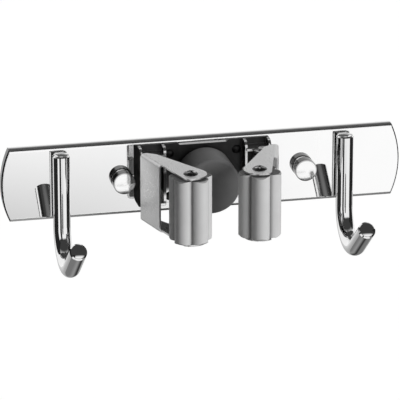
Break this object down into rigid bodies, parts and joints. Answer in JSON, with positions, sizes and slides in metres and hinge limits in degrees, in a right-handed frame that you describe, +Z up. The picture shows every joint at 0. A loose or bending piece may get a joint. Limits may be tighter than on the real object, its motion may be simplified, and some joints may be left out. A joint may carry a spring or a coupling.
{
  "type": "wall mop holder rack",
  "caption": "Wall rack with a polished plate, hooks of round bar, and a sprung clamp whose lobed rollers grip a mop handle against a rubber pad.",
  "frame": {"origin": "middle of the plate on the wall plane", "axes": "+X along the plate to the right as seen from the front, +Y into the wall, +Z up"},
  "size_m": [0.2476, 0.0813, 0.0741],
  "materials": {
    "polished_plate": "mirror polished steel",
    "chrome": "bright chrome",
    "satin_steel": "satin",
    "bracket_steel": "bright, in shade",
    "fastener_steel": "zinc plated",
    "spring_steel": "drawn wire",
    "pad_rubber": "matt",
    "roller_rubber": "matt",
    "bush_plastic": "smooth"
  },
  "bodies": {
    "rack": {"wall_plate": "polished_plate", "hook_left": "chrome", "hook_right": "chrome", "hook_screws": "fastener_steel", "cap_base_left": "chrome", "cap_base_right": "chrome", "cap_left": "chrome", "cap_right": "chrome", "bracket": "bracket_steel", "bracket_rivets": "fastener_steel", "pad_boss": "fastener_steel", "pad": "pad_rubber", "pivot_pin_left": "fastener_steel", "pivot_pin_right": "fastener_steel", "pivot_clips": "spring_steel"},
    "clamp_left": {"arm_left": "satin_steel", "torsion_spring_left": "spring_steel", "roller_pin_left": "chrome", "roller_washers_left": "fastener_steel"},
    "clamp_right": {"arm_right": "satin_steel", "torsion_spring_right": "spring_steel", "roller_pin_right": "chrome", "roller_washers_right": "fastener_steel"},
    "grip_left": {"roller_left": "roller_rubber", "roller_bush_left": "bush_plastic"},
    "grip_right": {"roller_right": "roller_rubber", "roller_bush_right": "bush_plastic"}
  },
  "joints": [
    {"name": "arm_left_swing", "type": "hinge", "parent": "rack", "child": "clamp_left", "pos_m": [-0.0344, -0.0198, 0], "axis": [0, 0, -1], "range_deg": [0, 20], "stiffness_Nm_per_rad": 0.17, "springref_deg": -28.65},
    {"name": "arm_right_swing", "type": "hinge", "parent": "rack", "child": "clamp_right", "pos_m": [0.0344, -0.0198, 0], "axis": [0, 0, 1], "range_deg": [0, 20], "stiffness_Nm_per_rad": 0.17, "springref_deg": -28.65},
    {"name": "roller_left_spin", "type": "hinge", "parent": "clamp_left", "child": "grip_left", "pos_m": [-0.02087, -0.06825, 0], "axis": [0, 0, 1], "continuous": true},
    {"name": "roller_right_spin", "type": "hinge", "parent": "clamp_right", "child": "grip_right", "pos_m": [0.02087, -0.06825, 0], "axis": [0, 0, 1], "continuous": true}
  ]
}
